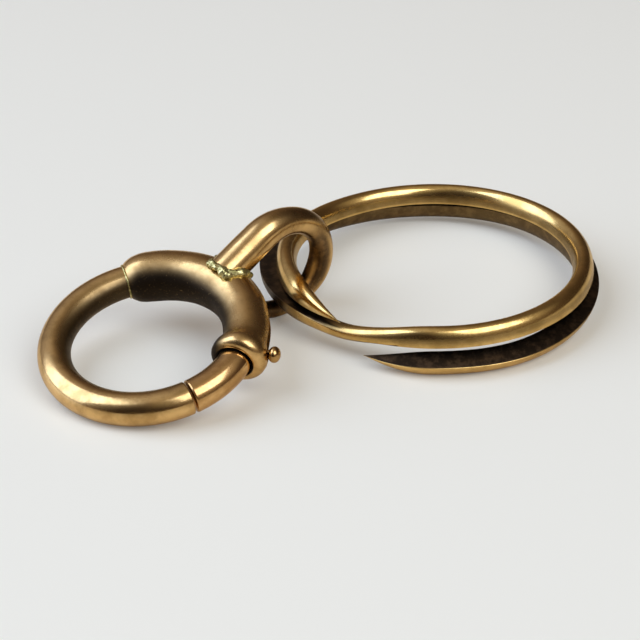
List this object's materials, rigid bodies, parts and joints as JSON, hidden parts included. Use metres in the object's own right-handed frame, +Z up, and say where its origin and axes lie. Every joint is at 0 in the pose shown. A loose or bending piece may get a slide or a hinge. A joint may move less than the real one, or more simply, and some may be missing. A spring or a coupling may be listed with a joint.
{
  "type": "bolt ring clasp",
  "caption": "Round spring clasp with a sliding curved bolt and thumb knob, soldered to a bail that holds a flattened split ring of coiled wire.",
  "frame": {"origin": "centre of the clasp and split ring's bounding box, at the level of the table they lie on", "axes": "+X from the clasp ring towards the split ring, +Y away from the viewer of the front, +Z up"},
  "size_m": [0.0374, 0.0289, 0.008],
  "materials": {
    "gold": "polished and worn, darkened in the hollows",
    "solder": "rough cast solder, pale and slightly green",
    "spring_steel": "drawn wire"
  },
  "bodies": {
    "clasp": {"ring_arm": "gold", "housing": "gold", "spring": "spring_steel", "bail": "gold", "bail_solder": "solder", "arm_solder": "solder"},
    "bolt": {"bolt": "gold", "thumb_knob": "gold"},
    "split_ring": {"split_ring": "gold"}
  },
  "joints": [
    {"name": "bolt_slide", "type": "hinge", "parent": "clasp", "child": "bolt", "pos_m": [-0.01152, -0.00733, 0.0025], "axis": [-0.1058, -0.2024, 0.9736], "range_deg": [0, 30], "stiffness_Nm_per_rad": 0.004, "springref_deg": -11.46, "deforming": ["spring"]},
    {"name": "split_ring_swing", "type": "hinge", "parent": "clasp", "child": "split_ring", "pos_m": [-0.00312, 0.00016, 0.0024], "axis": [0.6428, -0.766, 0], "range_deg": [0, 100]}
  ]
}
